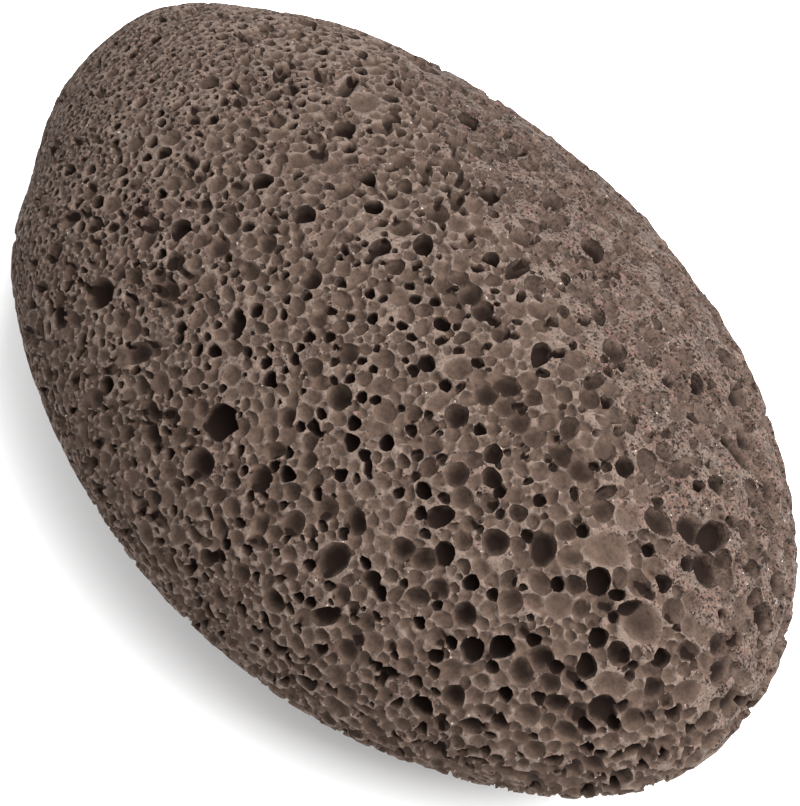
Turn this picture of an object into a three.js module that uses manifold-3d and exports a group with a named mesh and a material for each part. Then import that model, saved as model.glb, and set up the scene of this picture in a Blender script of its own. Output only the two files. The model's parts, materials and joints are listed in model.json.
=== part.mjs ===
// A pumice stone for the feet: one tumbled, egg-shaped piece of brown lava, full of gas bubbles.
// Millimetres, +Z up. The stone lies on its worn flat, with its length along X and the origin at
// the bottom centre of its box.
import * as THREE from "three";
import { mergeVertices } from "three/addons/utils/BufferGeometryUtils.js";
import Module from "manifold-3d";

const wasm = await Module();
wasm.setup();

// Driving dimensions
const LENGTH = 100;
const WIDTH = 63;
const HEIGHT = 43;
const WORN_OFF = 1; // how much the resting flat takes off the egg's underside
const STONE_COLOUR = 0x69594f;

// The egg before it is worn: its half sizes, about a heart at the middle of its length
const HALF = new THREE.Vector3(LENGTH / 2, WIDTH / 2, (HEIGHT + WORN_OFF) / 2);

// How finely the egg and its bubbles are faceted: a small bubble has twelve sides, a wider one is rounder
const EGG_DETAIL = 9;
const WIDE_PIT = 2.5;
const WIDE_PIT_DETAIL = 1;
const BROAD_PIT = 3;
const BROAD_PIT_DETAIL = 2;

// Places on the stone are seen from its heart: a bearing round it from the +X end, and a rise above
// its widest line, both in degrees.

// Broad swellings (height above 0) and worn facets (below 0): bearing, rise, reach in degrees, height
const SWELLS = [
  [172, 8, 9, 1.3],
  [-162, 3, 9, -1.5],
  [128, 12, 28, -0.5],
  [55, 6, 16, 0.3],
  [-32, -9, 14, -0.5],
  [-8, -5, 10, 0.2],
  [-95, -5, 25, 0.3],
  [20, 50, 20, 0.5],
  [-150, 45, 20, -0.6],
  [100, -30, 24, 0.7],
  [-20, -38, 18, -0.6],
  [-165, -30, 22, 0.6],
];

// The stone's largest pits: bearing, rise, width, depth, length over width, turn of the length from level
const LARGE_PITS = [
  [-93, 37, 3.6, 3.2, 1, 0],
  [-135.5, 24, 3.6, 1.9, 1, 0],
  [-89.5, 28.5, 3.6, 1.7, 1, 0],
  [-52, 27.5, 3.2, 1.7, 1.4, 68],
  [-51.5, 18.5, 1.9, 1.8, 1.8, 49],
  [153.5, 34, 1.5, 1.5, 2.8, 90],
  [150.5, 38, 3.2, 0.7, 1.2, 63],
  [144, 36, 1.7, 1.9, 1, 0],
  [144, 41.5, 1.7, 1.6, 1.2, 59],
  [166.5, 78.5, 1.9, 1.8, 1.4, 28],
  [114.5, 77, 2.1, 2.1, 1.2, -49],
  [72.5, 65.5, 1.8, 2, 1, 0],
  [63.5, 60.5, 2, 1.6, 1.5, -72],
  [23.5, 53.5, 2.1, 1.8, 1.3, -22],
  [25.5, 43, 1.5, 1.6, 1.7, -69],
  [39.5, 25.5, 1.8, 1.9, 1.2, 6],
  [47, 44, 1.7, 1.2, 1.3, 0],
  [9.5, 42, 2.1, 1.4, 1.2, 11],
  [12, 32.5, 1.9, 1.9, 1.2, -3],
  [5.5, 32, 1.4, 1.4, 1.8, -21],
  [-5, 24, 2.6, 2.4, 1, 0],
  [3.5, 20, 1.7, 1.9, 1, 0],
  [22.5, 21, 1.8, 1.6, 1.2, -14],
  [16.5, 12.5, 2, 1.3, 1, 0],
  [-1, 26.5, 3.8, 0.8, 1.4, -31],
  [6, 28, 3.2, 0.6, 1.2, -9],
  [-9, 18.5, 2, 2.2, 1, 0],
  [-2.5, 18, 4.2, 1.3, 1.2, -67],
  [-3, 20, 1.6, 1.8, 1.5, -17],
  [-22.5, 19.5, 2.3, 2, 1, 0],
  [-2.5, 14, 1.9, 2.2, 1, 0],
  [-12, 11, 3.1, 1.9, 1, 0],
  [-12, 16, 2, 2, 1.3, 90],
  [-10, 13.5, 3, 0.9, 1.3, -13],
  [-1.5, 9.5, 2.8, 1, 1.3, -12],
  [-4, 8, 1.8, 1.8, 1, 0],
  [-10, 5.5, 1.5, 1.8, 1.3, 22],
  [-27, 19, 2.2, 2.5, 1.2, -69],
  [-35, 10, 2.5, 2.5, 1, 0],
  [-30.5, 12.5, 2.5, 1.5, 1.1, -79],
  [-29, 31.5, 2.1, 2, 1.2, 85],
  [-29, 37, 2.2, 1.8, 1.4, 30],
  [-11.5, 45, 2, 1.6, 1, 0],
  [-14.5, 41.5, 2, 1.6, 1, 0],
  [-23, 39.5, 2.4, 1.2, 1, 0],
  [-7, 63, 2.6, 1, 1.2, -20],
  [-21.5, 67, 1.7, 2, 1.2, -83],
  [-64.5, 57, 2.5, 1.5, 1.2, -40],
  [-82.5, 59.5, 2.2, 1.2, 1, 0],
  [-62.5, 30.5, 2.4, 1.3, 1.3, 72],
  [-61.5, 16.5, 2.6, 1.4, 1, 0],
  [-43.5, 26.5, 2, 1.6, 1, 0],
  [-53, 5, 2.1, 1.8, 1, 0],
  [63, 20.5, 2.6, 0.8, 1, 0],
  [86.5, 23.5, 2.6, 1, 1, 0],
  [-32.5, 8, 2, 1.5, 1, 0],
  [-21, 6.5, 2.4, 1, 1, 0],
  [-19, 5, 1.8, 1.8, 1, 0],
  [170, 7.5, 2.2, 1.1, 1, 0],
];

// Common pits between them, spread over the egg on a golden spiral
const COMMON_PITS = 64;
const COMMON_WIDTH = [1.8, 2.8];
const COMMON_DEPTH = [0.55, 0.95]; // as a share of the width
const COMMON_GAP = 4; // from the middle of any large pit
const LOWEST_COMMON_RISE = -40; // below it is the resting flat, which has none
const GOLDEN_TURN = 180 * (3 - Math.sqrt(5));
const GOLDEN_STEP = (Math.sqrt(5) - 1) / 2;
const SILVER_STEP = Math.SQRT2 - 1;

const { degToRad, lerp } = THREE.MathUtils;

// The unit vector at a bearing and a rise
function direction(bearing, rise) {
  const level = Math.cos(degToRad(rise));
  return new THREE.Vector3(
    level * Math.cos(degToRad(bearing)),
    level * Math.sin(degToRad(bearing)),
    Math.sin(degToRad(rise)),
  );
}

const swells = SWELLS.map(([bearing, rise, reach, height]) => ({
  towards: direction(bearing, rise),
  reach: degToRad(reach),
  height,
}));

// The stone's skin in a direction from its heart: the place, and the way it faces
function skin(towards) {
  const at = towards.clone().divideScalar(towards.clone().divide(HALF).length());
  const faces = at.clone().divide(HALF).divide(HALF).normalize();
  const height = swells.reduce((sum, swell) => {
    const away = towards.angleTo(swell.towards) / swell.reach;
    return sum + swell.height * Math.exp(-away * away);
  }, 0);
  return { at: at.addScaledVector(faces, height), faces };
}

// A closed geometry as a solid, and a solid as a geometry with flat facets
function solidOf(geometry) {
  geometry.deleteAttribute("normal");
  geometry.deleteAttribute("uv");
  const merged = mergeVertices(geometry);
  return new wasm.Manifold(
    new wasm.Mesh({
      numProp: 3,
      vertProperties: merged.getAttribute("position").array,
      triVerts: new Uint32Array(merged.index.array),
    }),
  );
}

function geometryOf(solid) {
  const mesh = solid.getMesh();
  const geometry = new THREE.BufferGeometry();
  geometry.setAttribute("position", new THREE.BufferAttribute(mesh.vertProperties, 3));
  geometry.setIndex(new THREE.BufferAttribute(mesh.triVerts, 1));
  const faceted = geometry.toNonIndexed();
  faceted.computeVertexNormals();
  return faceted;
}

// The whole egg, before any bubble is opened
function egg() {
  const geometry = new THREE.IcosahedronGeometry(1, EGG_DETAIL);
  const place = geometry.getAttribute("position");
  const vertex = new THREE.Vector3();
  for (let i = 0; i < place.count; i++) {
    vertex.fromBufferAttribute(place, i).multiply(HALF).normalize();
    place.setXYZ(i, ...skin(vertex).at.toArray());
  }
  return solidOf(geometry);
}

// A ball with as many facets as a pit of this width needs
function ball(radius, width) {
  if (width < WIDE_PIT) return new THREE.DodecahedronGeometry(radius);
  return new THREE.IcosahedronGeometry(radius, width < BROAD_PIT ? WIDE_PIT_DETAIL : BROAD_PIT_DETAIL);
}

// One gas bubble, placed so that it opens the skin by its width and reaches its depth below it
function bubble([bearing, rise, width, depth, stretch, turn], index) {
  const { at, faces } = skin(direction(bearing, rise));
  const level = new THREE.Vector3(0, 0, 1).cross(faces).normalize();
  const long = level.applyAxisAngle(faces, degToRad(turn));
  const side = faces.clone().cross(long);
  const radius = (width * width) / (8 * depth) + depth / 2;
  const geometry = ball(radius, width);
  geometry.rotateX(index).rotateY(2 * index); // no two bubbles show the same facets
  geometry.applyMatrix4(
    new THREE.Matrix4()
      .makeBasis(long, side, faces)
      .scale(new THREE.Vector3(stretch, 1, 1))
      .setPosition(at.addScaledVector(faces, radius - depth)),
  );
  return solidOf(geometry);
}

// The common pits, leaving the large ones and the resting flat alone
function commonPits() {
  const large = LARGE_PITS.map(([bearing, rise]) => skin(direction(bearing, rise)).at);
  const pits = [];
  for (let i = 0; i < COMMON_PITS; i++) {
    const rise = THREE.MathUtils.radToDeg(Math.asin(1 - (2 * i + 1) / COMMON_PITS));
    const bearing = i * GOLDEN_TURN;
    const at = skin(direction(bearing, rise)).at;
    const crowded = large.some((other) => other.distanceTo(at) < COMMON_GAP);
    if (crowded || rise < LOWEST_COMMON_RISE) continue;
    const width = lerp(...COMMON_WIDTH, (i * GOLDEN_STEP) % 1);
    const depth = width * lerp(...COMMON_DEPTH, (i * SILVER_STEP) % 1);
    pits.push([bearing, rise, width, depth, 1, 0]);
  }
  return pits;
}

// The resting flat, worn square across the egg's underside
function groundDown(stone) {
  const ground = new THREE.BoxGeometry(2 * LENGTH, 2 * WIDTH, HEIGHT);
  ground.translate(0, 0, WORN_OFF - HALF.z - HEIGHT / 2);
  return stone.subtract(solidOf(ground));
}

function pumiceStone() {
  const bubbles = [...LARGE_PITS, ...commonPits()].map(bubble);
  const opened = egg().subtract(bubbles.reduce((all, one) => all.add(one)));
  const geometry = geometryOf(groundDown(opened));
  geometry.computeBoundingBox();
  const { min, max } = geometry.boundingBox;
  geometry.translate(-(min.x + max.x) / 2, -(min.y + max.y) / 2, -min.z);
  const material = new THREE.MeshStandardMaterial({
    color: STONE_COLOUR,
    roughness: 0.95,
    metalness: 0,
    flatShading: true,
  });
  const mesh = new THREE.Mesh(geometry, material);
  mesh.name = "pumice_stone";
  return mesh;
}

const part = new THREE.Group();
part.add(pumiceStone());

export default part;
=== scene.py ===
"""A pumice stone for the feet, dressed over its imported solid: a tumbled egg of brown lava foam."""

import json
import math
from collections import Counter
from functools import partial, reduce
from types import SimpleNamespace

import bpy
import numpy as np
from bpy.props import FloatProperty, FloatVectorProperty, IntProperty, PointerProperty
from mathutils import Matrix, Vector, kdtree, noise

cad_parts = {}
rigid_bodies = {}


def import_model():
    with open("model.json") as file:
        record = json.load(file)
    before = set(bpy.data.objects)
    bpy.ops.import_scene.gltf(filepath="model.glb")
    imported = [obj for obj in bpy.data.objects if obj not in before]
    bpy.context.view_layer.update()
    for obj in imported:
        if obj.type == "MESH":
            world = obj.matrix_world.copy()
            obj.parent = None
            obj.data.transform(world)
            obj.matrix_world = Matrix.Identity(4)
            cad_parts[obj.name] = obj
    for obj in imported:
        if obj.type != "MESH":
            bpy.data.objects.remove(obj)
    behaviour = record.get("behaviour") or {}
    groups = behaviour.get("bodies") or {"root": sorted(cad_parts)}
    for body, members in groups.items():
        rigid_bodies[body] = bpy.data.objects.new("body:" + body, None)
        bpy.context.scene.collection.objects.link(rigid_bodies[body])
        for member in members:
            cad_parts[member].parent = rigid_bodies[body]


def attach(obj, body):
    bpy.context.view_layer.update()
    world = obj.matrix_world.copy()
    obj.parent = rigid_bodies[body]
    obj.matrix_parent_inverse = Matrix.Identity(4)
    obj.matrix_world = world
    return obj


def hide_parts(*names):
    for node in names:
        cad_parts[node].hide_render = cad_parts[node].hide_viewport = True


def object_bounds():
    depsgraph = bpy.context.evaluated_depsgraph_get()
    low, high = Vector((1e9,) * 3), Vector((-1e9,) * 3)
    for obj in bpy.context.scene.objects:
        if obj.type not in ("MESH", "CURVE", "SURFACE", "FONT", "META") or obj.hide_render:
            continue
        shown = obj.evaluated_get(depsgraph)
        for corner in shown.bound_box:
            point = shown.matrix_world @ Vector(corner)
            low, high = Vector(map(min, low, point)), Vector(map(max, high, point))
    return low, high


bl_info = {
    "name": "Pumice Stone",
    "version": (1, 0, 0),
    "blender": (4, 5, 0),
    "location": "View3D > Sidebar > Pumice",
    "description": "Builds a tumbled pumice stone, its bubbles and a plain studio round it",
    "category": "Object",
}

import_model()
CAD_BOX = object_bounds()

NODE = "pumice_stone"
MM = 0.001

# The egg is worked out in millimetres about its heart, which lies this far above the resting flat
HEART_HEIGHT = 21.0
SKIN_LIFT = 0.12  # the hollows and the wear take it off again
RANDOM_SEED = 11

# Broad swellings and worn facets: bearing and rise from the heart, reach (degrees), height (mm)
SWELLS = [
    (172, 8, 9, 1.3),
    (-162, 3, 9, -1.5),
    (128, 12, 28, -0.5),
    (55, 6, 16, 0.3),
    (-32, -9, 14, -0.5),
    (-8, -5, 10, 0.2),
    (-95, -5, 25, 0.3),
    (20, 50, 20, 0.5),
    (-150, 45, 20, -0.6),
    (100, -30, 24, 0.7),
    (-20, -38, 18, -0.6),
    (-165, -30, 22, 0.6),
]

# The largest pits: bearing, rise, width, depth (mm), length over width, turn of the length from level
LARGE_PITS = [
    (-93, 37, 3.6, 3.2, 1, 0),
    (-135.5, 24, 3.6, 1.9, 1, 0),
    (-89.5, 28.5, 3.6, 1.7, 1, 0),
    (-52, 27.5, 3.2, 1.7, 1.4, 68),
    (-51.5, 18.5, 1.9, 1.8, 1.8, 49),
    (153.5, 34, 1.5, 1.5, 2.8, 90),
    (150.5, 38, 3.2, 0.7, 1.2, 63),
    (144, 36, 1.7, 1.9, 1, 0),
    (144, 41.5, 1.7, 1.6, 1.2, 59),
    (166.5, 78.5, 1.9, 1.8, 1.4, 28),
    (114.5, 77, 2.1, 2.1, 1.2, -49),
    (72.5, 65.5, 1.8, 2, 1, 0),
    (63.5, 60.5, 2, 1.6, 1.5, -72),
    (23.5, 53.5, 2.1, 1.8, 1.3, -22),
    (25.5, 43, 1.5, 1.6, 1.7, -69),
    (39.5, 25.5, 1.8, 1.9, 1.2, 6),
    (47, 44, 1.7, 1.2, 1.3, 0),
    (9.5, 42, 2.1, 1.4, 1.2, 11),
    (12, 32.5, 1.9, 1.9, 1.2, -3),
    (5.5, 32, 1.4, 1.4, 1.8, -21),
    (-5, 24, 2.6, 2.4, 1, 0),
    (3.5, 20, 1.7, 1.9, 1, 0),
    (22.5, 21, 1.8, 1.6, 1.2, -14),
    (16.5, 12.5, 2, 1.3, 1, 0),
    (-1, 26.5, 3.8, 0.8, 1.4, -31),
    (6, 28, 3.2, 0.6, 1.2, -9),
    (-9, 18.5, 2, 2.2, 1, 0),
    (-2.5, 18, 4.2, 1.3, 1.2, -67),
    (-3, 20, 1.6, 1.8, 1.5, -17),
    (-22.5, 19.5, 2.3, 2, 1, 0),
    (-2.5, 14, 1.9, 2.2, 1, 0),
    (-12, 11, 3.1, 1.9, 1, 0),
    (-12, 16, 2, 2, 1.3, 90),
    (-10, 13.5, 3, 0.9, 1.3, -13),
    (-1.5, 9.5, 2.8, 1, 1.3, -12),
    (-4, 8, 1.8, 1.8, 1, 0),
    (-10, 5.5, 1.5, 1.8, 1.3, 22),
    (-27, 19, 2.2, 2.5, 1.2, -69),
    (-35, 10, 2.5, 2.5, 1, 0),
    (-30.5, 12.5, 2.5, 1.5, 1.1, -79),
    (-29, 31.5, 2.1, 2, 1.2, 85),
    (-29, 37, 2.2, 1.8, 1.4, 30),
    (-11.5, 45, 2, 1.6, 1, 0),
    (-14.5, 41.5, 2, 1.6, 1, 0),
    (-23, 39.5, 2.4, 1.2, 1, 0),
    (-7, 63, 2.6, 1, 1.2, -20),
    (-21.5, 67, 1.7, 2, 1.2, -83),
    (-64.5, 57, 2.5, 1.5, 1.2, -40),
    (-82.5, 59.5, 2.2, 1.2, 1, 0),
    (-62.5, 30.5, 2.4, 1.3, 1.3, 72),
    (-61.5, 16.5, 2.6, 1.4, 1, 0),
    (-43.5, 26.5, 2, 1.6, 1, 0),
    (-53, 5, 2.1, 1.8, 1, 0),
    (63, 20.5, 2.6, 0.8, 1, 0),
    (86.5, 23.5, 2.6, 1, 1, 0),
    (-32.5, 8, 2, 1.5, 1, 0),
    (-21, 6.5, 2.4, 1, 1, 0),
    (-19, 5, 1.8, 1.8, 1, 0),
    (170, 7.5, 2.2, 1.1, 1, 0),
]

# The darkest small holes, where the photograph shows them: pixels across and down it, then the
# width and the length (mm)
BLACK_HOLES = [
    (175, 326, 1.3, 1.4),
    (174, 338, 1.3, 1.4),
    (193, 349, 1.4, 1.4),
    (209, 350, 1.4, 1.5),
    (232, 312, 1.3, 1.3),
    (251, 309, 1.5, 1.6),
    (231, 332, 1.4, 1.4),
    (262, 362, 1.4, 1.4),
    (266, 379, 1.6, 1.6),
    (67, 411, 1.2, 1.3),
    (77, 342, 1.3, 2.0),
    (108, 450, 1.3, 1.4),
    (305, 336, 1.4, 1.4),
    (296, 347, 1.1, 1.1),
    (366, 292, 1.3, 1.3),
    (369, 317, 1.3, 1.3),
    (410, 369, 1.3, 1.3),
    (438, 340, 1.1, 1.6),
    (438, 323, 1.6, 1.7),
    (358, 396, 1.3, 1.3),
    (346, 378, 1.2, 1.2),
    (350, 422, 1.5, 1.5),
    (383, 442, 1.6, 1.6),
    (310, 426, 1.2, 2.0),
    (348, 442, 1.7, 1.8),
    (336, 474, 1.5, 1.5),
    (283, 474, 1.7, 1.8),
    (364, 466, 1.0, 1.6),
    (419, 489, 1.5, 2.0),
    (395, 492, 1.2, 1.2),
    (417, 128, 0.9, 0.9),
    (327, 132, 0.9, 1.5),
    (391, 143, 1.0, 1.0),
    (370, 206, 1.8, 2.0),
    (364, 178, 1.7, 1.8),
    (558, 287, 0.8, 1.3),
    (634, 222, 1.0, 1.0),
    (590, 464, 1.0, 1.2),
    (721, 613, 1.1, 1.1),
    (630, 665, 1.1, 1.1),
    (597, 755, 1.4, 1.5),
    (376, 594, 1.5, 1.6),
    (467, 582, 1.6, 1.7),
    (415, 623, 1.4, 1.4),
    (447, 643, 1.4, 1.4),
    (497, 647, 2.2, 2.4),
    (530, 640, 1.5, 1.5),
    (384, 674, 1.4, 2.0),
    (392, 705, 1.1, 1.8),
    (501, 695, 1.6, 1.6),
    (475, 764, 1.2, 2.2),
    (314, 651, 1.4, 2.0),
    (294, 598, 1.3, 1.3),
    (184, 571, 1.2, 1.6),
    (201, 578, 1.2, 1.2),
    (215, 557, 1.5, 1.8),
    (205, 612, 1.6, 1.6),
    (236, 610, 1.5, 1.8),
    (260, 617, 1.2, 1.2),
    (273, 650, 1.4, 2.0),
    (261, 655, 1.0, 1.0),
]
BLACK_HOLE_DEPTH = 1.5  # as a share of the width

# Common pits on a golden spiral between the large ones, as the solid has them
COMMON_PITS = 64
COMMON_WIDTH = (1.8, 2.8)
COMMON_DEPTH = (0.55, 0.95)  # as a share of the width
COMMON_GAP = 4.0  # from the middle of any large pit
LOWEST_COMMON_RISE = -40.0  # below it is the resting flat, which has none
GOLDEN_TURN = 180 * (3 - math.sqrt(5))
GOLDEN_STEP = (math.sqrt(5) - 1) / 2
SILVER_STEP = math.sqrt(2) - 1

# Foam fills the rest of the skin, so that all bubbles open this share of it
FOAM_COVER = 0.88

# The usual width of its bubbles along the stone, from the fine far end to the coarse near one
USUAL_WIDTH_ALONG = (
    (-47, 0.52),
    (-42, 0.62),
    (-37, 0.9),
    (-30, 1.15),
    (-18, 1.4),
    (0, 1.55),
    (25, 1.75),
    (46, 2.1),
)

# Beneath, they are wider: the way the upper side faces, where beneath starts along it, how soft its edge is
UPPER_SIDE = np.array((0.4, -0.3, 0.87))
UNDERSIDE_FROM = -2.0
UNDERSIDE_EDGE = 10.0
UNDERSIDE_WIDER = 2.0

# Open dishes: the spread and the limits of their widths over the usual one, their depths over their
# widths, and how far they widen into each other
DISH_SPREAD = 0.3
DISH_LIMITS = (0.5, 1.8)
DISH_DEPTH = (0.3, 0.68)
DISH_OVERLAP = (0.98, 1.2)

# Small bubbles between the dishes: their share of all, their widths over the usual one, and how many
# of them are deep holes along the stone
SMALL_SHARE = 0.56
SMALL_WIDTH = (0.38, 0.85)
HOLES_ALONG = ((-40, 0.95), (0, 0.9), (20, 0.7), (40, 0.5))

# Deep holes: their depths over their widths, the share of the width past which a bubble is one, the
# wall between two, the narrowest, and how far from its middle a mouth has ended and is whole, in widths
HOLE_DEPTH = (1.0, 1.6)
ROUND_DEPTH = 0.8
HOLE_WALL = 0.1
NARROWEST_HOLE = 0.34
MOUTH = (0.7, 0.45)

# Towards the fine end, dishes become holes too: from where to where, how many, and how they narrow
FINE_END = (-42.0, -8.0)
FINE_HOLE_SHARE = 0.8
PORE_WIDTH = (0.55, 0.95)

# Unevenness: how much longer than wide a bubble can be, the lobes of its outline and the lumps of its
# wall, and the widths between which lobes and lumps fall to a share of that
STRETCH = 0.5
LOBES = 0.18
LUMPY = 0.1
ROUNDER_FROM = (1.2, 2.6)
ROUNDER = 0.35

# How bubbles are thrown on the skin, and pushed apart there
THROWN_AT_ONCE = 120
PLACES_TRIED = 8
PLACES_SAMPLED = 4000
NEIGHBOURS = 6
SETTLE_SWEEPS = 60
SWEEPS_PER_SEARCH = 6
SEARCH_REACH = 1.35
SETTLE_STEP = 0.7
NEXT_TO_NOTHING = 1e-6  # keeps lengths that are divided by off zero

# The broken, grainy side: where it starts across the stone, how that slants along it, how soft its
# edge is, and the share of its bubbles that stay closed
GRAINY_FROM = 14.0
GRAINY_SLANT = 0.27
GRAINY_EDGE = 8.0
GRAINY_CLOSED = 0.35

# Hollows of the worn skin between the bubbles: depth and size, and those of the grainy side alone
UNEVEN = ((0.2, 3.4), (0.15, 1.5))
GRAINY_UNEVEN = (0.6, 1.8)
FLAT_TOLERANCE = 0.01  # above the resting flat, which has none

# How finely the egg is gridded, and a bubble: from this width on, its sides and the rings below its rim
EGG_SUBDIVISIONS = 6
GRID = 0.75
BUBBLE_KINDS = (
    (0.0, 6, (0.55,)),
    (0.6, 8, (0.55,)),
    (1.0, 10, (0.55,)),
    (1.6, 12, (0.4, 0.75)),
    (2.4, 16, (0.3, 0.55, 0.8)),
)
STONE_TRIANGLES = 197000  # at most, after thinning
FLAP_ROUNDS = 3  # of taking out the stray faces that thinning leaves

# A bubble's body above its rim: the turn of its flare over the rim's, the flare's lift, the height of
# the chimney out through the skin, and the room between two bodies that are cut at once
FLARE = 1.3
FLARE_LIFT = 0.02
CHIMNEY = 0.6
CUTTER_ROOM = 0.1

# The finish: how rims are rounded, how far a corner may stand out, how far it is moved at random, the
# room below the solid's top, and the angle up to which faces are smooth
WEAR = 0.18
WEAR_TIMES = 1
SHARPEST = 0.25
CORNER_JITTER = 0.02
TOP_ROOM = 0.01
SMOOTH_BELOW = 80.0

# Sizes of the material's patterns (mm), and how finely they are broken up
PATCH_SIZE = 2.4
MOTTLE_SIZE = 0.8
GRIT_SIZE = 0.27
GRAIN_SIZE = 0.24
GLINT_SIZE = 0.17
PORE_SPACING = 0.42
PORE_DRIFT = (0.3, 0.4)  # the size and the reach of the noise that moves the pores about
FINE_DETAIL = 3.0
COARSE_DETAIL = 2.0
DRIFT_DETAIL = 1.0
NOISE_MIDDLE = 0.5  # what a noise is on the average

# Where a pattern starts and where it is whole: by the depth below the skin, the height over the
# neighbours or the place along the stone (mm), by widths deep in a hole, by a noise or by a draw
# The ridge share: from the ridge colour near the skin to the darker pit colour deeper down, partly the
# pits' greyer hue and partly painted shade
RIDGE_DEPTH = (0.75, 0.15)
# Painted shade: the depths below the skin, and (below) the widths inside a narrow hole, over which the
# stone is darkened to near black
PAINTED_SHADE_DEPTH = (0.6, 1.55)
# Sharp rims above their neighbours: dust, and a painted highlight on their edges
RIM_HEIGHT = (0.02, 0.14)
# Hollows below their neighbours, where shade is painted
HOLLOW_HEIGHT = (0.0, -0.3)
FINE_PORES_ALONG = (-33.0, -42.0)
FAR_END_ALONG = (25.0, -30.0)
PAINTED_SHADE_SHUT_IN = (0.12, 0.52)
BROKEN_PATCHES = (0.5, 0.62)
GAP_GRIT = (0.37, 0.29)
PORE_EDGE = (0.2, 0.04)
PORE_GROUND = (0.2, 0.5)
PORE_DRAW = (0.35, 0.4)
GRAIN_DRAW = (0.5, 0.7)
GLINT_DRAW = (0.997, 0.999)

# How much of one pattern goes into another
MOTTLE_IN_RIDGE = 0.4
GRAINY_IN_BROKEN = 0.08
WORN_LOOSE = 0.45
RIDGE_LOOSE = 0.65
GRAINY_LOOSE = 0.35
PORE_SPREAD = 0.3
GRAINY_PALE = 0.45
RIM_DUST_AND_HIGHLIGHT = 0.75
PINK_GRAINS = 0.7
# The share of painted shade in the pores and in the gaps between grains
PORE_PAINTED_SHADE = 0.8

# How much lighter, or darker below 0, a pattern makes the stone. Grit counts more where the stone is loose
BASE_LIGHT = 0.5
MOTTLE_LIGHT = 1.0
GRIT_LIGHT = (0.7, 2.1)
# Painted shade in the hollows
HOLLOW_PAINTED_SHADE = -0.32
LOOSE_LIGHT = -0.12
GRAINY_RIDGE_LIGHT = -0.2
NEAR_END_LIGHT = 0.05
FAR_END_LIGHT = -0.1
LEAST_LIGHT = 0.15

# How much a pattern raises the surface, and how far that is in all (mm)
GRIT_RELIEF = (0.3, 1.2)
MOTTLE_RELIEF = 0.6
PORE_RELIEF = -1.5
RELIEF = 0.14
STONE_ROUGHNESS = 0.95
STONE_SPECULAR = 0.15

# Studio, in metres
FLOOR_SIZE = 4.0
FLOOR_COLOUR = (0.93, 0.93, 0.93, 1)
FLOOR_ROUGHNESS = 0.9
SKY_STRENGTH = 1.15
KEY_SIZE = 1.25
KEY_POWER = 58
KEY_PLACE = (0.45, 0.42, 1.05)

# The photograph's camera
IMAGE_WIDTH = 800
IMAGE_HEIGHT = 806
CAMERA_AZIMUTH = 52.0
CAMERA_ELEVATION = 60.0
CAMERA_DISTANCE = 0.7
CAMERA_CLIP = 0.01
FOCAL_PIXELS = 7000.0
HEART_PIXEL = (396.0, 395.5)


class PumiceStoneSettings(bpy.types.PropertyGroup):
    """Sizes and colours of the stone"""

    length: FloatProperty(
        name="Length",
        description="Length of the egg before it was worn",
        default=0.100,
        unit="LENGTH",
    )
    width: FloatProperty(
        name="Width",
        description="Width of the egg before it was worn",
        default=0.063,
        unit="LENGTH",
    )
    height: FloatProperty(
        name="Height",
        description="Height of the egg before its underside was worn flat",
        default=0.044,
        unit="LENGTH",
    )
    seed: IntProperty(
        name="Seed",
        description="Changes where the small bubbles are",
        default=RANDOM_SEED,
    )
    rim_colour: FloatVectorProperty(
        name="Ridge colour",
        description="Walls between the bubbles",
        subtype="COLOR",
        size=3,
        default=(0.0602, 0.0424, 0.0339),
    )
    # Dusty rims, partly a painted highlight on the sharpest edges
    edge_dust_and_highlight_colour: FloatVectorProperty(
        name="Edge colour",
        description="Dusty rims of the bubbles",
        subtype="COLOR",
        size=3,
        default=(0.107, 0.0781, 0.063),
    )
    # The bubbles' greyer insides, darker than the ridges partly as painted shade
    pit_colour: FloatVectorProperty(
        name="Pit colour",
        description="Smooth insides of the bubbles",
        subtype="COLOR",
        size=3,
        default=(0.0541, 0.0352, 0.0262),
    )
    # Painted shade: the near black that deep places, narrow holes, pores and gaps are darkened to
    painted_shade_colour: FloatVectorProperty(
        name="Deep colour",
        description="Bottoms of the deepest bubbles",
        subtype="COLOR",
        size=3,
        default=(0.0066, 0.0027, 0.0015),
    )
    grain_colour: FloatVectorProperty(
        name="Grain colour",
        description="Pinkish grains",
        subtype="COLOR",
        size=3,
        default=(0.0991, 0.0524, 0.0404),
    )
    # Pale crystals, partly a painted highlight: glints on the ridge tops
    glint_colour: FloatVectorProperty(
        name="Glint colour",
        description="Rare pale crystals",
        subtype="COLOR",
        size=3,
        default=(0.3, 0.25, 0.22),
    )


# Shape of the egg


def directions(bearing, rise):
    """Unit vectors at bearings and rises in degrees."""
    bearing = np.radians(bearing)
    rise = np.radians(rise)
    level = np.cos(rise)
    return np.stack([level * np.cos(bearing), level * np.sin(bearing), np.sin(rise)], axis=-1)


def skin(towards, half):
    """Places on the stone's skin in these directions from its heart, and the ways they face."""
    far = 1 / np.linalg.norm(towards / half, axis=-1)
    faces = towards / half**2
    faces /= np.linalg.norm(faces, axis=-1, keepdims=True)
    height = np.full(far.shape, SKIN_LIFT)
    for bearing, rise, reach, swell in SWELLS:
        cosine = np.clip(towards @ directions(bearing, rise), -1, 1)
        height += swell * np.exp(-((np.arccos(cosine) / math.radians(reach)) ** 2))
    far += height / (towards * faces).sum(axis=-1)
    at = towards * far[..., None]
    worn = at[..., 2] < -HEART_HEIGHT
    at[worn] *= (-HEART_HEIGHT / at[worn][:, 2])[:, None]
    faces[worn] = (0, 0, -1)
    return at, faces


def skin_above(place, half):
    """The skin above these places, seen from the heart, and the ways it faces."""
    return skin(place / np.linalg.norm(place, axis=1, keepdims=True), half)


def depth_below_skin(place, half):
    """How far inside the rough skin each place is, in millimetres."""
    at, faces = skin_above(place, half)
    return np.einsum("ij,ij->i", at - place, faces) - roughness(at)


# Bubbles


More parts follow.
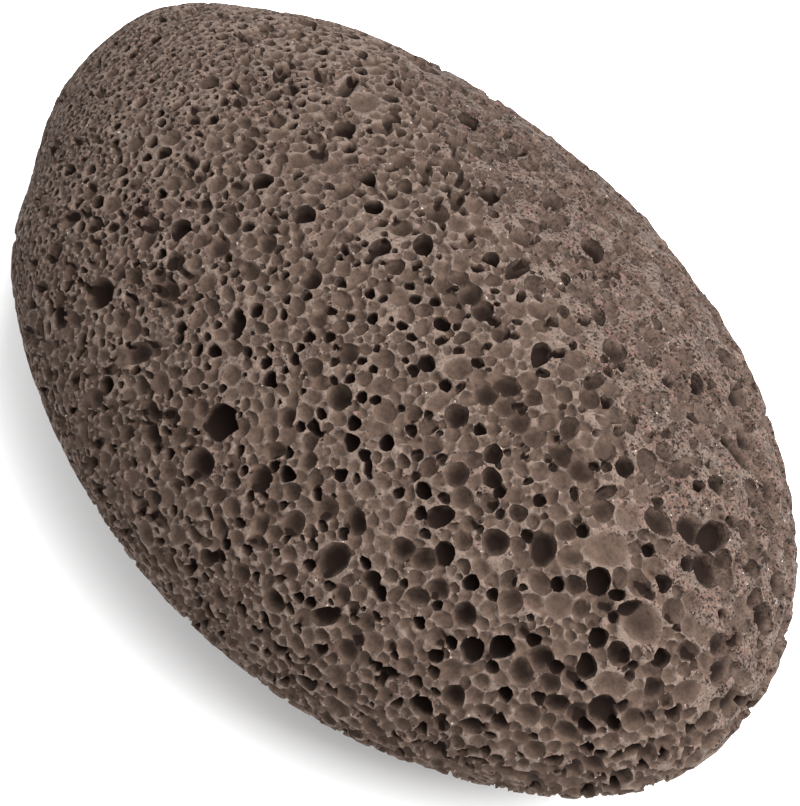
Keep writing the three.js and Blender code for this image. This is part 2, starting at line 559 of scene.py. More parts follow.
def common_pits(half):
    """The common pits, leaving the large ones and the resting flat alone."""
    large = np.array(LARGE_PITS)
    large_at, _ = skin(directions(large[:, 0], large[:, 1]), half)
    pits = []
    for i in range(COMMON_PITS):
        rise = math.degrees(math.asin(1 - (2 * i + 1) / COMMON_PITS))
        bearing = i * GOLDEN_TURN
        at, _ = skin(directions(bearing, rise)[None], half)
        too_near = np.linalg.norm(large_at - at, axis=1).min() < COMMON_GAP
        if too_near or rise < LOWEST_COMMON_RISE:
            continue
        width = np.interp((i * GOLDEN_STEP) % 1, (0, 1), COMMON_WIDTH)
        depth = width * np.interp((i * SILVER_STEP) % 1, (0, 1), COMMON_DEPTH)
        pits.append((bearing, rise, width, depth, 1, 0))
    return pits


def camera_axes():
    """The photograph's camera: the ways to its right, up its picture and back to it."""
    turn, rise = math.radians(CAMERA_AZIMUTH), math.radians(CAMERA_ELEVATION)
    back = Vector((math.sin(turn) * math.cos(rise), -math.cos(turn) * math.cos(rise), math.sin(rise)))
    right = Vector((math.cos(turn), math.sin(turn), 0))
    return right, back.cross(right), back


def seen_at(across, down, half):
    """The direction from the heart of the place that the camera sees at these pixels."""
    right, up, back = (np.array(axis) for axis in camera_axes())
    sight = np.outer(across - HEART_PIXEL[0], right) - np.outer(down - HEART_PIXEL[1], up)
    sight = sight / FOCAL_PIXELS - back
    eye = back * CAMERA_DISTANCE / MM
    a = ((sight / half) ** 2).sum(axis=1)
    b = (sight * eye / half**2).sum(axis=1)
    c = ((eye / half) ** 2).sum() - 1
    near = eye + sight * ((-b - np.sqrt(np.maximum(b * b - a * c, 0))) / a)[:, None]
    return near / np.linalg.norm(near, axis=1, keepdims=True)


def known_pits(half, rng):
    """Pits whose places are known: directions, widths, depths, lengths over widths and turns."""
    pits = np.array([*LARGE_PITS, *common_pits(half)], float)
    black = np.array(BLACK_HOLES)
    towards = np.concatenate([directions(pits[:, 0], pits[:, 1]), seen_at(black[:, 0], black[:, 1], half)])
    width, length = black[:, 2:].T
    rows = np.stack([width, BLACK_HOLE_DEPTH * width, length / width, rng.uniform(0, 360, len(black))])
    return towards, np.concatenate([pits[:, 2:].T, rows], axis=1)


def usual_width(at):
    """The usual width of a bubble at each place: fine at the far end, coarser at the near one and below."""
    along, usual = zip(*USUAL_WIDTH_ALONG)
    under = np.clip((UNDERSIDE_FROM - at @ UPPER_SIDE) / UNDERSIDE_EDGE, 0, 1)
    return np.interp(at[:, 0], along, usual) * (1 + (UNDERSIDE_WIDER - 1) * under)


def kd_tree(places):
    """A tree that finds the places near a spot."""
    tree = kdtree.KDTree(len(places))
    for k, place in enumerate(places):
        tree.insert(place, k)
    tree.balance()
    return tree


def near_pairs(at, reach, slack):
    """Pairs of bubbles that touch, or nearly touch where slack is above 1, the wider one first."""
    tree = kd_tree(at)
    pairs = []
    for k, spot in enumerate(at):
        for _, other, far in tree.find_range(spot, 2 * slack * reach[k]):
            if (reach[other], other) < (reach[k], k) and far < slack * (reach[k] + reach[other]):
                pairs.append((k, other))
    return np.array(pairs).T


def places(egg, half, rng, count):
    """Random places on the skin, thick where bubbles are fine."""
    corners = coordinates(egg)
    weight = 1 / usual_width(corners) ** 2
    spots = corners[rng.choice(len(corners), count, p=weight / weight.sum())]
    spots += GRID * rng.uniform(-0.5, 0.5, spots.shape)
    return skin_above(spots, half)[0]


def bubble_widths(rng, count):
    """Widths over the usual one, and which of the bubbles are small ones, between the dishes."""
    small = rng.random(count) < SMALL_SHARE
    dish = np.clip(np.exp(rng.normal(0, DISH_SPREAD, count)), *DISH_LIMITS)
    return np.where(small, rng.uniform(*SMALL_WIDTH, count), dish), small


def scatter(egg, at, reach, half, rng, cover):
    """Adds bubbles from the widest to the finest, each at the roomiest of a few places, to cover enough."""
    usual = usual_width(places(egg, half, rng, PLACES_SAMPLED))
    trial = bubble_widths(rng, PLACES_SAMPLED)[0]
    usual_area = math.pi / 4 * (usual**2).mean() * (trial**2).mean()
    widths, holes = bubble_widths(rng, int(cover / usual_area))
    widest_first = np.argsort(-widths)
    widths, holes = widths[widest_first], holes[widest_first]
    offered = places(egg, half, rng, len(widths) * PLACES_TRIED).reshape(-1, PLACES_TRIED, 3)
    for start in range(0, len(widths), THROWN_AT_ONCE):
        some = slice(start, start + THROWN_AT_ONCE)
        tried = offered[some].reshape(-1, 3)
        radius = usual_width(tried) * np.repeat(widths[some], PLACES_TRIED) / 2
        tree = kd_tree(at)
        room = [min(far - reach[k] for _, k, far in tree.find_n(spot, NEIGHBOURS)) for spot in tried]
        best = (room / radius).reshape(-1, PLACES_TRIED).argmax(axis=1)
        best += np.arange(len(best)) * PLACES_TRIED
        at = np.concatenate([at, tried[best]])
        reach = np.concatenate([reach, radius[best]])
    return at, reach, holes


def settle(at, reach, fixed, half):
    """Pushes overlapping bubbles apart over the skin, until they lie side by side like foam."""
    for sweep in range(SETTLE_SWEEPS):
        if sweep % SWEEPS_PER_SEARCH == 0:
            first, second = near_pairs(at, reach, SEARCH_REACH)
        off = at[first] - at[second]
        far = np.maximum(np.linalg.norm(off, axis=1), NEXT_TO_NOTHING)
        overlap = np.maximum(reach[first] + reach[second] - far, 0)
        push = off * (0.5 * overlap / far)[:, None]
        move = np.zeros_like(at)
        np.add.at(move, first, push)
        np.subtract.at(move, second, push)
        move[:fixed] = 0
        at, faces = skin_above(at + SETTLE_STEP * move, half)
    return at, faces


def graininess(at):
    """From 0 on the bubbly side to 1 on the broken, grainy side."""
    across = at[:, 1] + GRAINY_SLANT * at[:, 0] - GRAINY_FROM
    share = np.clip(across / GRAINY_EDGE + 0.5, 0, 1)
    return share * share * (3 - 2 * share)


def crowded(at, width, holes):
    """Which holes leave too thin a wall to a wider hole."""
    which = np.flatnonzero(holes)
    _, narrower = near_pairs(at[which], (width[which] + HOLE_WALL) / 2, 1)
    return np.isin(np.arange(len(at)), which[narrower])


class Bubbles:
    """Bubbles that open the skin: their places, and arrays of their sizes."""

    def __init__(self, at, faces, width, depth, stretch, turn):
        self.at = at
        self.faces = faces
        self.width = width
        self.depth = depth
        self.stretch = stretch
        level = np.cross((0.0, 0.0, 1.0), faces)
        level[np.linalg.norm(level, axis=1) < NEXT_TO_NOTHING] = (1, 0, 0)
        level /= np.linalg.norm(level, axis=1, keepdims=True)
        cosine, sine = np.cos(np.radians(turn))[:, None], np.sin(np.radians(turn))[:, None]
        self.long = level * cosine + np.cross(faces, level) * sine
        self.side = np.cross(faces, self.long)
        self.round = np.minimum(depth, ROUND_DEPTH * width)
        self.radius = width**2 / (8 * self.round) + self.round / 2
        self.turn = turn

    def only(self, which):
        """Some of these bubbles."""
        rows = (self.at, self.faces, self.width, self.depth, self.stretch, self.turn)
        return Bubbles(*(row[which] for row in rows))


def foam(egg, half, rng):
    """All the bubbles that open the skin."""
    towards, pits = known_pits(half, rng)
    width, depth, stretch, turn = pits
    known = len(towards)
    pit_at, _ = skin(towards, half)
    pit_reach = width * (1 + stretch) / 4
    area = sum(p.area for p in egg.data.polygons)
    cover = FOAM_COVER * area - (math.pi * pit_reach**2).sum()
    at, reach, holes = scatter(egg, pit_at, pit_reach, half, rng, cover)
    at, faces = settle(at, reach, known, half)
    small_at, small = at[known:], 2 * reach[known:]
    count = len(small)
    holes &= rng.random(count) < np.interp(small_at[:, 0], *zip(*HOLES_ALONG))
    fine = np.interp(small_at[:, 0], FINE_END, (FINE_HOLE_SHARE, 0))
    pores = ~holes & (rng.random(count) < fine)
    small[pores] *= rng.uniform(*PORE_WIDTH, pores.sum())
    holes |= pores
    deep = np.concatenate([depth > width * ROUND_DEPTH, holes])
    holes &= ~crowded(at, np.concatenate([width, small]), deep)[known:]
    share = np.where(holes, rng.uniform(*HOLE_DEPTH, count), rng.uniform(*DISH_DEPTH, count))
    spread = np.where(holes, 1, rng.uniform(*DISH_OVERLAP, count))
    long = 1 + STRETCH * rng.random(count) ** 2
    closed = GRAINY_CLOSED * graininess(small_at)
    opened = (rng.random(count) > closed) & ((small > NARROWEST_HOLE) | ~holes)
    at -= faces * roughness(at)[:, None]
    bubbles = Bubbles(
        at,
        faces,
        np.concatenate([width, small * spread / np.sqrt(long)]),
        np.concatenate([depth, small * share]),
        np.concatenate([stretch, long]),
        np.concatenate([turn, rng.uniform(0, 360, count)]),
    )
    return bubbles.only(np.concatenate([np.full(known, True), opened]))


# Making the stone


def only_select(thing):
    """Selects this object alone and makes it the active one."""
    bpy.ops.object.select_all(action="DESELECT")
    thing.select_set(True)
    bpy.context.view_layer.objects.active = thing


def coordinates(thing):
    """The places of an object's corners."""
    place = np.empty(len(thing.data.vertices) * 3)
    thing.data.vertices.foreach_get("co", place)
    return place.reshape(-1, 3)


def normals(thing):
    """The ways an object's corners face."""
    normal = np.empty(len(thing.data.vertices) * 3)
    thing.data.vertex_normals.foreach_get("vector", normal)
    return normal.reshape(-1, 3)


def move_to(thing, place):
    """Moves an object's corners to these places."""
    thing.data.vertices.foreach_set("co", place.astype(np.float32).ravel())
    thing.data.update()


def hollows(place, size):
    """Smooth noise between 0 and 1 at each place."""
    return np.array([0.5 + 0.5 * noise.noise(p / size) for p in map(Vector, place)]).clip(0, 1)


def neighbour_mean(thing, values):
    """The mean of a number over the neighbours of each corner."""
    ends = np.empty(2 * len(thing.data.edges), np.int32)
    thing.data.edges.foreach_get("vertices", ends)
    first, second = ends.reshape(-1, 2).T
    count = len(thing.data.vertices)
    total = np.bincount(first, values[second], count) + np.bincount(second, values[first], count)
    return total / np.bincount(ends, minlength=count)


def note(thing, name, values):
    """Keeps a number at each corner of the mesh, for its material."""
    attribute = thing.data.attributes.new(name, "FLOAT", "POINT")
    attribute.data.foreach_set("value", values.astype(np.float32))


def make_egg(half):
    """The whole smooth egg with its worn flat, evenly gridded."""
    bpy.ops.object.select_all(action="DESELECT")
    bpy.ops.mesh.primitive_ico_sphere_add(subdivisions=EGG_SUBDIVISIONS, radius=1)
    egg = bpy.context.object
    egg.name = "pumice_body"
    egg.data.transform(Matrix.Diagonal((*half, 1)))
    grid = egg.modifiers.new("Grid", "REMESH")
    grid.mode = "VOXEL"
    grid.voxel_size = GRID
    bpy.ops.object.modifier_apply(modifier=grid.name)
    move_to(egg, skin_above(coordinates(egg), half)[0])
    return egg


def roughness(place):
    """Depth of the worn skin's hollows at each place, none on the resting flat."""
    deep, size = GRAINY_UNEVEN
    rough = deep * graininess(place) * hollows(place, size)
    rough += sum(deep * hollows(place, size) for deep, size in UNEVEN)
    rough[place[:, 2] < FLAT_TOLERANCE - HEART_HEIGHT] = 0
    return rough


def roughen(egg, half):
    """Sinks the hollows into the smooth egg."""
    place = coordinates(egg)
    _, faces = skin_above(place, half)
    move_to(egg, place - faces * roughness(place)[:, None])


def bubble_faces(sides, rings):
    """Faces of a bubble with its bottom corner first, then its rings from below, then its top corner."""
    faces = []
    top = 1 + sides * rings
    for j in range(sides):
        after = (j + 1) % sides
        faces.append((0, 1 + after, 1 + j))
        for ring in range(rings - 1):
            low, high = 1 + ring * sides, 1 + (ring + 1) * sides
            faces.append((low + j, low + after, high + after))
            faces.append((low + j, high + after, high + j))
        faces.append((top, top - sides + j, top - sides + after))
    return np.array(faces)


def bubble_corners(bubbles, sides, rings, rng):
    """Corners of each bubble: a pole, rings up to its rim, a flare, a chimney out of the skin, a pole."""
    count = len(bubbles.at)
    radius = bubbles.radius
    rim = np.arccos(np.clip(1 - bubbles.round / radius, -1, 1))
    deeper = bubbles.depth / bubbles.round
    bearing = 2 * math.pi * np.arange(sides) / sides + rng.uniform(0, 2 * math.pi, (count, 1))
    twos, threes = rng.uniform(0, 2 * math.pi, (2, count, 1))
    uneven = np.interp(bubbles.width, ROUNDER_FROM, (1, ROUNDER))[:, None]
    outline = 1 + LOBES / 2 * uneven * (np.sin(2 * bearing + twos) + np.sin(3 * bearing + threes))
    around = np.stack([np.cos(bearing) * bubbles.stretch[:, None], np.sin(bearing)], axis=-1)
    around *= outline[..., None]
    heights = [-bubbles.depth]
    layers = [np.zeros((count, 1, 2))]
    for share in (*rings, 1.0):
        out = radius * np.sin(share * rim)
        lumps = 1 + LUMPY * uneven * rng.uniform(-1, 1, (count, sides))
        layers.append(around * (out[:, None] * lumps)[..., None])
        heights.append(deeper * (radius * (1 - np.cos(share * rim)) - bubbles.round))
    flare = np.minimum(FLARE * rim, np.maximum(rim, math.pi / 2))
    wider = np.sin(flare) / np.sin(rim)
    layers += [layers[-1] * wider[:, None, None]] * 2
    heights += [radius * (1 - np.cos(flare)) - bubbles.round + FLARE_LIFT, np.full(count, CHIMNEY)]
    layers.append(np.zeros((count, 1, 2)))
    heights.append(np.full(count, CHIMNEY))
    corners = []
    for layer, height in zip(layers, heights):
        along = layer[..., :1] * bubbles.long[:, None] + layer[..., 1:] * bubbles.side[:, None]
        corners.append(bubbles.at[:, None] + along + (bubbles.faces * height[:, None])[:, None])
    return np.concatenate(corners, axis=1)


def sort_apart(bubbles):
    """Group numbers such that no two bubbles of one group touch inside the stone."""
    inside = np.where(bubbles.round > bubbles.width / 2, bubbles.radius, bubbles.width / 2)
    bound = np.maximum(inside * bubbles.stretch * (1 + LOBES + LUMPY), bubbles.depth / 2) + CUTTER_ROOM
    middle = bubbles.at - bubbles.faces * np.maximum(bubbles.depth - bound, 0)[:, None]
    touching = [[] for _ in middle]
    for wide, narrow in near_pairs(middle, bound, 1).T:
        touching[wide].append(narrow)
        touching[narrow].append(wide)
    group = np.full(len(middle), -1)
    for k, others in enumerate(touching):
        taken = set(group[others])
        group[k] = next(g for g in range(len(others) + 1) if g not in taken)
    return group


def joined(name, bodies):
    """One mesh object from many closed bodies of corners and faces."""
    starts = np.cumsum([0] + [len(corners) for corners, _ in bodies])
    mesh = bpy.data.meshes.new(name)
    corners = np.concatenate([corners for corners, _ in bodies])
    faces = np.concatenate([faces + start for (_, faces), start in zip(bodies, starts)])
    mesh.from_pydata(corners.tolist(), [], faces.tolist())
    thing = bpy.data.objects.new(name, mesh)
    bpy.context.collection.objects.link(thing)
    return thing


def cut_away(body, tool):
    """Cuts the joined bubbles out of the body."""
    only_select(body)
    cut = body.modifiers.new("Bubbles", "BOOLEAN")
    cut.operation = "DIFFERENCE"
    cut.solver = "MANIFOLD"
    cut.object = tool
    bpy.ops.object.modifier_apply(modifier=cut.name)
    bpy.data.meshes.remove(tool.data)


def open_bubbles(body, bubbles, rng):
    """Cuts every bubble, a group at a time."""
    kind = np.searchsorted([row[0] for row in BUBBLE_KINDS], bubbles.width, side="right") - 1
    shapes = [None] * len(bubbles.at)
    for number, (_, sides, rings) in enumerate(BUBBLE_KINDS):
        which = np.flatnonzero(kind == number)
        faces = bubble_faces(sides, len(rings) + 3)
        for k, corners in zip(which, bubble_corners(bubbles.only(which), sides, rings, rng)):
            shapes[k] = (corners, faces)
    group = sort_apart(bubbles)
    for g in range(group.max() + 1):
        cut_away(body, joined("bubbles", [shapes[k] for k in np.flatnonzero(group == g)]))


def edit_only(body, kind, chosen):
    """Goes into edit mode with only the chosen corners (VERT) or faces (FACE) selected."""
    only_select(body)
    bpy.ops.object.mode_set(mode="EDIT")
    bpy.ops.mesh.select_mode(type=kind)
    bpy.ops.mesh.select_all(action="DESELECT")
    bpy.ops.object.mode_set(mode="OBJECT")
    parts = body.data.vertices if kind == "VERT" else body.data.polygons
    parts.foreach_set("select", chosen)
    bpy.ops.object.mode_set(mode="EDIT")


def drop_crumbs(body):
    """Deletes the loose crumbs that bubbles have cut free."""
    chosen = np.zeros(len(body.data.vertices), bool)
    chosen[coordinates(body)[:, 0].argmax()] = True
    edit_only(body, "VERT", chosen)
    bpy.ops.mesh.select_linked()
    bpy.ops.mesh.select_all(action="INVERT")
    bpy.ops.mesh.delete(type="VERT")
    bpy.ops.object.mode_set(mode="OBJECT")


def lighten(body):
    """Takes out the triangles that the stone's shape does not need."""
    only_select(body)
    triangles = sum(len(p.vertices) - 2 for p in body.data.polygons)
    if triangles > STONE_TRIANGLES:
        thin = body.modifiers.new("Lighten", "DECIMATE")
        thin.ratio = STONE_TRIANGLES / triangles
        thin.use_collapse_triangulate = True
        bpy.ops.object.modifier_apply(modifier=thin.name)


def drop_flaps(body):
    """Deletes the stray faces that thinning leaves: doubled ones, and those that hang by one edge."""
    corners = [tuple(sorted(face.vertices)) for face in body.data.polygons]
    uses = Counter(corners)
    edit_only(body, "FACE", [uses[key] > 1 for key in corners])
    bpy.ops.mesh.delete(type="FACE")
    bpy.ops.mesh.select_mode(type="EDGE")
    for _ in range(FLAP_ROUNDS):
        bpy.ops.mesh.select_all(action="DESELECT")
        bpy.ops.mesh.select_non_manifold(
            extend=False,
            use_multi_face=False,
            use_non_contiguous=False,
            use_verts=False,
        )
        bpy.ops.mesh.delete(type="EDGE")
    bpy.ops.mesh.delete_loose()
    bpy.ops.mesh.select_mode(type="VERT")
    bpy.ops.object.mode_set(mode="OBJECT")


def wear(body):
    """Rounds off the rims."""
    only_select(body)
    rounding = body.modifiers.new("Wear", "SMOOTH")
    rounding.factor = WEAR
    rounding.iterations = WEAR_TIMES
    bpy.ops.object.modifier_apply(modifier=rounding.name)


def shut_in(place, bubbles, half):
    """How many widths deep each corner lies inside a narrow hole, 0 outside the holes."""
    holes = bubbles.only(bubbles.depth > ROUND_DEPTH * bubbles.width)
    above, _ = skin_above(place, half)
    tree = kd_tree(holes.at)
    nearest, far = np.array([tree.find(spot)[1:] for spot in above]).T
    nearest = nearest.astype(int)
    out, within = MOUTH
    inside = np.clip((out - far / holes.width[nearest]) / (out - within), 0, 1)
    return inside * depth_below_skin(place, half) / holes.width[nearest]


def sharpness(body, place):
    """How far each corner stands out of its neighbours (mm): above 0 on rims, below it in hollows."""
    around = np.stack([neighbour_mean(body, axis) for axis in place.T], axis=1)
    return ((place - around) * normals(body)).sum(axis=1)


def finished_corners(body, rng):
    """The stone's corners with the spikes rubbed down and a little jitter, between its flat and its top."""
    place = coordinates(body)
    spike = np.maximum(sharpness(body, place) - SHARPEST, 0)
    place = place - normals(body) * spike[:, None]
    place += CORNER_JITTER * rng.uniform(-1, 1, place.shape)
    place[:, 2] = place[:, 2].clip(-HEART_HEIGHT, CAD_BOX[1][2] / MM - HEART_HEIGHT - TOP_ROOM)
    return place


def put_in_place(body, place):
    """Turns millimetres about the heart into metres, with the origin at the bottom centre of the stone."""
    low, high = place.min(axis=0), place.max(axis=0)
    shift = Vector((-(low[0] + high[0]) / 2, -(low[1] + high[1]) / 2, HEART_HEIGHT))
    body.data.transform(Matrix.Scale(MM, 4) @ Matrix.Translation(shift))


class PUMICE_OT_stone(bpy.types.Operator):
    """Makes the stone and opens its bubbles"""

    bl_idname = "pumice.stone"
    bl_label = "Stone"

    def execute(self, context):
        settings = context.scene.pumice_stone
        half = np.array([settings.length, settings.width, settings.height]) / MM / 2
        rng = np.random.default_rng(settings.seed)
        body = make_egg(half)
        bubbles = foam(body, half, rng)
        roughen(body, half)
        open_bubbles(body, bubbles, rng)
        drop_crumbs(body)
        lighten(body)
        drop_flaps(body)
        wear(body)
        if not body.data.polygons:
            raise RuntimeError("Opening the bubbles left nothing of the stone")
        place = finished_corners(body, rng)
        move_to(body, place)
        note(body, "depth", depth_below_skin(place, half))
        # How shut in each corner is, for the painted shade inside narrow holes
        note(body, "shut_in", shut_in(place, bubbles, half))
        note(body, "sharpness", sharpness(body, place))
        note(body, "graininess", graininess(place))
        put_in_place(body, place)
        only_select(body)
        bpy.ops.object.shade_smooth_by_angle(angle=math.radians(SMOOTH_BELOW))
        body.data.materials.clear()
        body.data.materials.append(stone_material(settings))
        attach(body, "root")
        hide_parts(NODE)
        return {"FINISHED"}


# The stone's material


class Nodes:
    """A short way to write a material's nodes."""

    def __init__(self, material):
        self.tree = material.node_tree
        self.place = self.add("TexCoord").outputs["Object"]

    def add(self, kind, settings=(), **inputs):
        """A node of a kind, with its settings, and values or other nodes' outputs for its inputs."""
        node = self.tree.nodes.new("ShaderNode" + kind)
        for name, value in dict(settings).items():
            setattr(node, name, value)
        for name, value in inputs.items():
            self.set(node.inputs[name.replace("_", " ")], value)
        return node

    def set(self, socket, value):
        """Links another node's output to an input, or gives it a constant."""
        if isinstance(value, bpy.types.NodeSocket):
            self.tree.links.new(value, socket)
        else:
            socket.default_value = value

    def join(self, kind, operation, *values):
        """The result of a Math or VectorMath node."""
        node = self.add(kind, {"operation": operation})
        for socket, value in zip(node.inputs, values):
            self.set(socket, value)
        return node.outputs[0]

    def times(self, a, b):
        return self.join("Math", "MULTIPLY", a, b)

    def plus(self, *values):
        return reduce(partial(self.join, "Math", "ADD"), values)

    def most(self, a, b):
        return self.join("Math", "MAXIMUM", a, b)

    def between(self, value, start, end):
        """0 up to start and 1 from end on, smooth between; start may be above end."""
        node = self.add("MapRange", {"interpolation_type": "SMOOTHSTEP"}, Value=value)
        falls = float(start > end)
        numbers = (min(start, end), max(start, end), falls, 1 - falls)
        for name, number in zip(("From Min", "From Max", "To Min", "To Max"), numbers):
            node.inputs[name].default_value = number
        return node.outputs[0]

    def mix(self, factor, a, b, blend="MIX"):
        """Colour a blended with colour b."""
        node = self.add("Mix", {"data_type": "RGBA", "blend_type": blend})
        for socket, value in zip((node.inputs[0], node.inputs[6], node.inputs[7]), (factor, a, b)):
            self.set(socket, value)
        return node.outputs[2]

    def grey(self, value):
        """A grey of this lightness."""
        return self.add("CombineColor", Red=value, Green=value, Blue=value).outputs[0]

    def noise(self, size, detail, output="Fac"):
        """Soft noise of a size in millimetres."""
        node = self.add("TexNoise", Vector=self.place, Scale=1 / (size * MM), Detail=detail)
        return node.outputs[output]

    def drifted(self, size, reach):
        """Coordinates moved about by a noise of a size, by up to its reach (mm)."""
        drift = self.noise(size, DRIFT_DETAIL, "Color")
        moved = self.add("VectorMath", {"operation": "SCALE"}, Vector=drift, Scale=reach * MM)
        return self.join("VectorMath", "ADD", self.place, moved.outputs[0])

    def cells(self, size, place=None):
        """Grains of a size in millimetres: how far from a grain's middle, and two draws for each grain."""
        node = self.add("TexVoronoi", Vector=place or self.place, Scale=1 / (size * MM))
        draws = self.add("SeparateColor", Color=node.outputs["Color"])
        return node.outputs["Distance"], draws.outputs[0], draws.outputs[1]

    def attribute(self, name):
        """A number kept at the mesh's corners."""
        return self.add("Attribute", {"attribute_name": name}).outputs["Fac"]


def stone_patterns(nodes):
    """Where the stone is a ridge, broken, loose or porous, where shade is painted, and the numbers and
    noises behind that.
    """
    times, plus, most = nodes.times, nodes.plus, nodes.most
    depth = nodes.attribute("depth")
    look = SimpleNamespace()
    look.sharp = nodes.attribute("sharpness")
    look.grainy = nodes.attribute("graininess")
    look.along = times(nodes.add("SeparateXYZ", Vector=nodes.place).outputs[0], 1 / MM)
    look.mottle = nodes.noise(MOTTLE_SIZE, FINE_DETAIL)
    look.grit = nodes.noise(GRIT_SIZE, FINE_DETAIL)
    look.ridge = nodes.between(plus(depth, times(look.mottle, MOTTLE_IN_RIDGE)), *RIDGE_DEPTH)
    patches = plus(nodes.noise(PATCH_SIZE, COARSE_DETAIL), times(look.grainy, GRAINY_IN_BROKEN))
    look.broken = nodes.between(patches, *BROKEN_PATCHES)
    worn = plus(times(look.ridge, WORN_LOOSE), times(look.grainy, WORN_LOOSE))
    open_ground = plus(times(look.ridge, RIDGE_LOOSE), times(look.grainy, GRAINY_LOOSE))
    look.loose = times(most(look.broken, worn), open_ground)
    look.pore = stone_pores(nodes, look)
    # Painted shade: deep places, pores and gaps, and the insides of narrow holes
    dark = most(nodes.between(depth, *PAINTED_SHADE_DEPTH), times(look.pore, PORE_PAINTED_SHADE))
    look.dark = most(dark, nodes.between(nodes.attribute("shut_in"), *PAINTED_SHADE_SHUT_IN))
    return look


def stone_pores(nodes, look):
    """Fine pores in loose ground and at the fine end, and the gaps between grains: sunk by the bump and
    painted dark as shade.
    """
    far, draw, size = nodes.cells(PORE_SPACING, nodes.drifted(*PORE_DRIFT))
    pore = nodes.between(nodes.plus(far, nodes.times(size, -PORE_SPREAD)), *PORE_EDGE)
    fine = nodes.between(look.along, *FINE_PORES_ALONG)
    ground = nodes.between(nodes.plus(look.loose, fine), *PORE_GROUND)
    pore = nodes.times(pore, nodes.times(nodes.between(draw, *PORE_DRAW), ground))
    gap = nodes.times(look.loose, nodes.between(look.grit, *GAP_GRIT))
    return nodes.most(pore, gap)


def stone_light(nodes, look):
    """What the stone's colour is multiplied by, with painted shade in its hollows."""
    times, plus = nodes.times, nodes.plus
    usual, when_loose = GRIT_LIGHT
    light = plus(
        times(plus(look.grit, -NOISE_MIDDLE), plus(times(look.loose, when_loose), usual)),
        # Painted shade where a corner lies below its neighbours
        times(nodes.between(look.sharp, *HOLLOW_HEIGHT), HOLLOW_PAINTED_SHADE),
        times(look.mottle, MOTTLE_LIGHT),
        times(look.loose, LOOSE_LIGHT),
        times(times(look.grainy, look.ridge), GRAINY_RIDGE_LIGHT),
        times(nodes.between(look.along, *FAR_END_ALONG), FAR_END_LIGHT),
        BASE_LIGHT + NEAR_END_LIGHT,
    )
    return nodes.grey(nodes.most(light, LEAST_LIGHT))


def stone_colour(nodes, look, settings):
    """Grey-brown dishes partly darkened as painted shade, paler dusty rims with a painted highlight on
    their edges, pinkish grains, rare crystals painted as glints, and painted shade in the depths.
    """
    times = nodes.times
    _, grain_draw, _ = nodes.cells(GRAIN_SIZE)
    _, glint_draw, _ = nodes.cells(GLINT_SIZE)
    pale = nodes.most(look.ridge, times(look.grainy, GRAINY_PALE))
    # Dust on the sharp rims, and a painted highlight on them
    rim = times(look.ridge, nodes.between(look.sharp, *RIM_HEIGHT))
    pink = times(times(look.loose, look.broken), nodes.between(grain_draw, *GRAIN_DRAW))
    # Crystals on the ridges, painted partly as highlight glints
    glint = times(look.ridge, nodes.between(glint_draw, *GLINT_DRAW))
    # Pit colour deeper down, ridge colour near the skin: partly the pits' own hue and partly painted shade
    colour = nodes.mix(pale, (*settings.pit_colour, 1), (*settings.rim_colour, 1))
    colour = nodes.mix(times(rim, RIM_DUST_AND_HIGHLIGHT), colour, (*settings.edge_dust_and_highlight_colour, 1))
    colour = nodes.mix(times(pink, PINK_GRAINS), colour, (*settings.grain_colour, 1))
    colour = nodes.mix(1.0, colour, stone_light(nodes, look), "MULTIPLY")
    colour = nodes.mix(glint, colour, (*settings.glint_colour, 1))
    # Painted shade over the depths, the narrow holes, the pores and the gaps
    return nodes.mix(look.dark, colour, (*settings.painted_shade_colour, 1))


def stone_relief(nodes, look):
    """The bump of grit, mottling and pores, finer than the mesh."""
    times, plus = nodes.times, nodes.plus
    usual, when_loose = GRIT_RELIEF
    grit = times(look.grit, plus(times(look.loose, when_loose), usual))
    height = plus(grit, times(look.mottle, MOTTLE_RELIEF), times(look.pore, PORE_RELIEF))
    return nodes.add("Bump", Strength=1.0, Distance=RELIEF * MM, Height=height).outputs["Normal"]


def stone_material(settings):
    """Matt lava foam."""
    material = bpy.data.materials.new("pumice")
    material.use_nodes = True
    nodes = Nodes(material)
    look = stone_patterns(nodes)
    shader = nodes.tree.nodes["Principled BSDF"]
    shader.inputs["Roughness"].default_value = STONE_ROUGHNESS
    shader.inputs["Specular IOR Level"].default_value = STONE_SPECULAR
    nodes.set(shader.inputs["Base Color"], stone_colour(nodes, look, settings))
    nodes.set(shader.inputs["Normal"], stone_relief(nodes, look))
    return material


# Studio


def make_floor():
    """The plain white floor under the stone."""
    bpy.ops.object.select_all(action="DESELECT")
    bpy.ops.mesh.primitive_plane_add(size=FLOOR_SIZE)
    floor = bpy.context.object
    floor.name = "floor"
    paint = bpy.data.materials.new("floor")
    paint.use_nodes = True
    shader = paint.node_tree.nodes["Principled BSDF"]
    shader.inputs["Base Color"].default_value = FLOOR_COLOUR
    shader.inputs["Roughness"].default_value = FLOOR_ROUGHNESS
    floor.data.materials.append(paint)


def light_studio(context, heart):
    """A white surrounding and one large lamp."""
    scene = context.scene
    scene.world = bpy.data.worlds.new("studio")
    scene.world.use_nodes = True
    sky = scene.world.node_tree.nodes["Background"]
    sky.inputs["Color"].default_value = (1, 1, 1, 1)
    sky.inputs["Strength"].default_value = SKY_STRENGTH
    scene.view_settings.view_transform = "Standard"
    lamp = bpy.data.lights.new("key", "AREA")
    lamp.shape = "SQUARE"
    lamp.size = KEY_SIZE
    lamp.energy = KEY_POWER
    key = bpy.data.objects.new("key", lamp)
    context.collection.objects.link(key)
    key.location = KEY_PLACE
    key.rotation_euler = (heart - key.location).to_track_quat("-Z", "Y").to_euler()


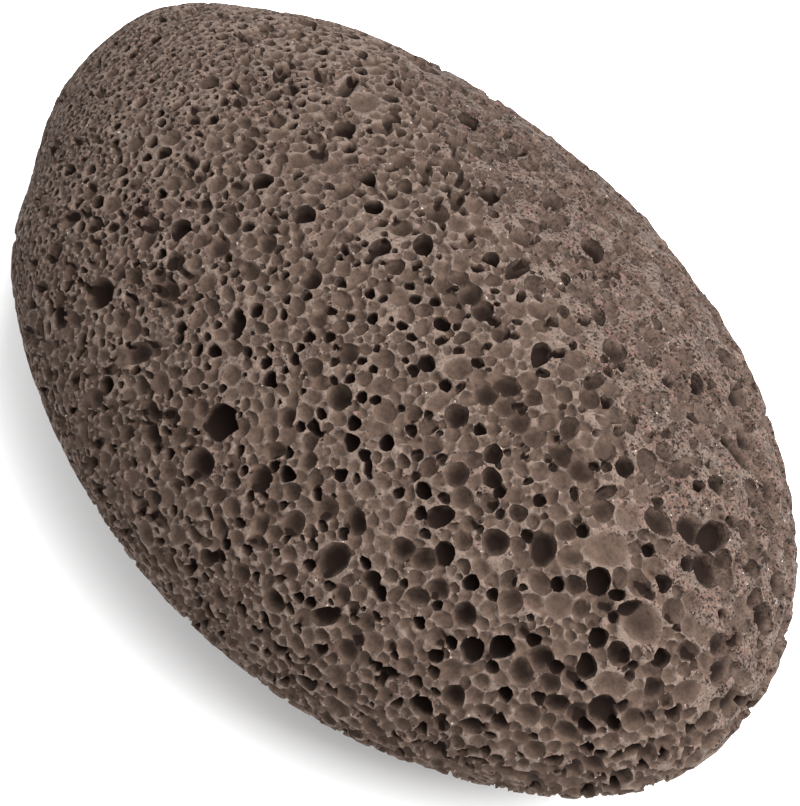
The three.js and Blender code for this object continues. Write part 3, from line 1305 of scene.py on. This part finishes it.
def place_camera(context, heart):
    """The photograph's camera, aimed so that the heart lies at its pixel."""
    right, up, back = camera_axes()
    pixel = CAMERA_DISTANCE / FOCAL_PIXELS
    aim = heart + right * (IMAGE_WIDTH / 2 - HEART_PIXEL[0]) * pixel
    aim -= up * (IMAGE_HEIGHT / 2 - HEART_PIXEL[1]) * pixel
    lens = bpy.data.cameras.new("camera")
    lens.lens = FOCAL_PIXELS / max(IMAGE_WIDTH, IMAGE_HEIGHT) * lens.sensor_width
    lens.clip_start = CAMERA_CLIP
    camera = bpy.data.objects.new("camera", lens)
    context.collection.objects.link(camera)
    camera.location = aim + back * CAMERA_DISTANCE
    camera.rotation_euler = (-back).to_track_quat("-Z", "Y").to_euler()
    context.scene.camera = camera


class PUMICE_OT_studio(bpy.types.Operator):
    """Makes the pale floor, the soft light and the camera"""

    bl_idname = "pumice.studio"
    bl_label = "Studio"

    def execute(self, context):
        heart = Vector((0, 0, HEART_HEIGHT * MM))
        make_floor()
        light_studio(context, heart)
        place_camera(context, heart)
        return {"FINISHED"}


class PUMICE_PT_panel(bpy.types.Panel):
    """The stone's settings and the buttons that build it"""

    bl_idname = "PUMICE_PT_panel"
    bl_label = "Pumice Stone"
    bl_space_type = "VIEW_3D"
    bl_region_type = "UI"
    bl_category = "Pumice"

    def draw(self, context):
        settings = context.scene.pumice_stone
        for name in settings.__annotations__:
            self.layout.prop(settings, name)
        for operator in (PUMICE_OT_stone, PUMICE_OT_studio):
            self.layout.operator(operator.bl_idname)


CLASSES = (PumiceStoneSettings, PUMICE_OT_stone, PUMICE_OT_studio, PUMICE_PT_panel)


def register():
    for kind in CLASSES:
        bpy.utils.register_class(kind)
    bpy.types.Scene.pumice_stone = PointerProperty(type=PumiceStoneSettings)


def unregister():
    del bpy.types.Scene.pumice_stone
    for kind in reversed(CLASSES):
        bpy.utils.unregister_class(kind)


def main():
    register()
    bpy.ops.pumice.stone()
    bpy.ops.pumice.studio()


if __name__ == "__main__":
    main()
